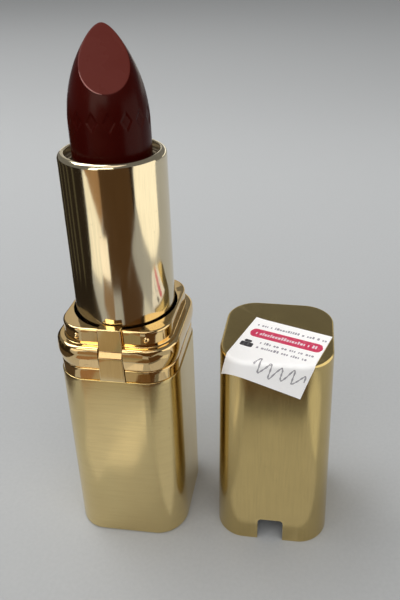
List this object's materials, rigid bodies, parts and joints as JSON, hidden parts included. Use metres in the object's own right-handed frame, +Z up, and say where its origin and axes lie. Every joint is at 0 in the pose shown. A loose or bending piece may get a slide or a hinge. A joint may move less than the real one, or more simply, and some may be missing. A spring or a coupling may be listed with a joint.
{
  "type": "lipstick case",
  "caption": "Square gold-tone swivel-up lipstick, shown open: bullet raised from a round sleeve, clasped collar, and its notched cap standing beside it.",
  "frame": {"origin": "centre of the base's underside", "axes": "+Z up along the bullet, -Y towards the clasp, +X towards the cap that stands beside the base"},
  "size_m": [0.0447, 0.021, 0.0851],
  "materials": {
    "base_gold": "satin gold anodised aluminium",
    "collar_gold": "polished plated gold",
    "sleeve_gold": "polished champagne gold",
    "cap_gold": "satin gold anodised aluminium",
    "wax": "smooth wax",
    "liner_plastic": "moulded",
    "mechanism_plastic": "moulded",
    "steel": "plain",
    "rubber": "moulded",
    "label_paper": "printed paper label",
    "sticker_paper": "printed paper sticker"
  },
  "bodies": {
    "base": {"base_shell": "base_gold", "base_liner": "liner_plastic", "base_weight": "steel", "shade_label": "label_paper", "collar": "collar_gold", "collar_clasp": "collar_gold", "guide_tube": "mechanism_plastic", "drag_ring": "rubber"},
    "swivel": {"sleeve": "sleeve_gold", "cam_tube": "mechanism_plastic"},
    "carrier": {"bullet_cup": "mechanism_plastic", "bullet": "wax"},
    "cap": {"cap_shell": "cap_gold", "cap_liner": "liner_plastic", "price_sticker": "sticker_paper"}
  },
  "joints": [
    {"name": "sleeve_twist", "type": "hinge", "parent": "base", "child": "swivel", "pos_m": [0, 0, 0.03], "axis": [0, 0, 1], "range_deg": [-450, 0]},
    {"name": "bullet_lift", "type": "slide", "parent": "base", "child": "carrier", "axis": [0, 0, 1], "range_m": [-0.02, 0]},
    {"name": "cap_lift", "type": "slide", "parent": "base", "child": "cap", "axis": [0, 0, 1], "range_m": [0, 0.1]}
  ],
  "couplings": [
    {"joint": "bullet_lift", "follows": "sleeve_twist", "m_per_rad": 0.0025465}
  ]
}
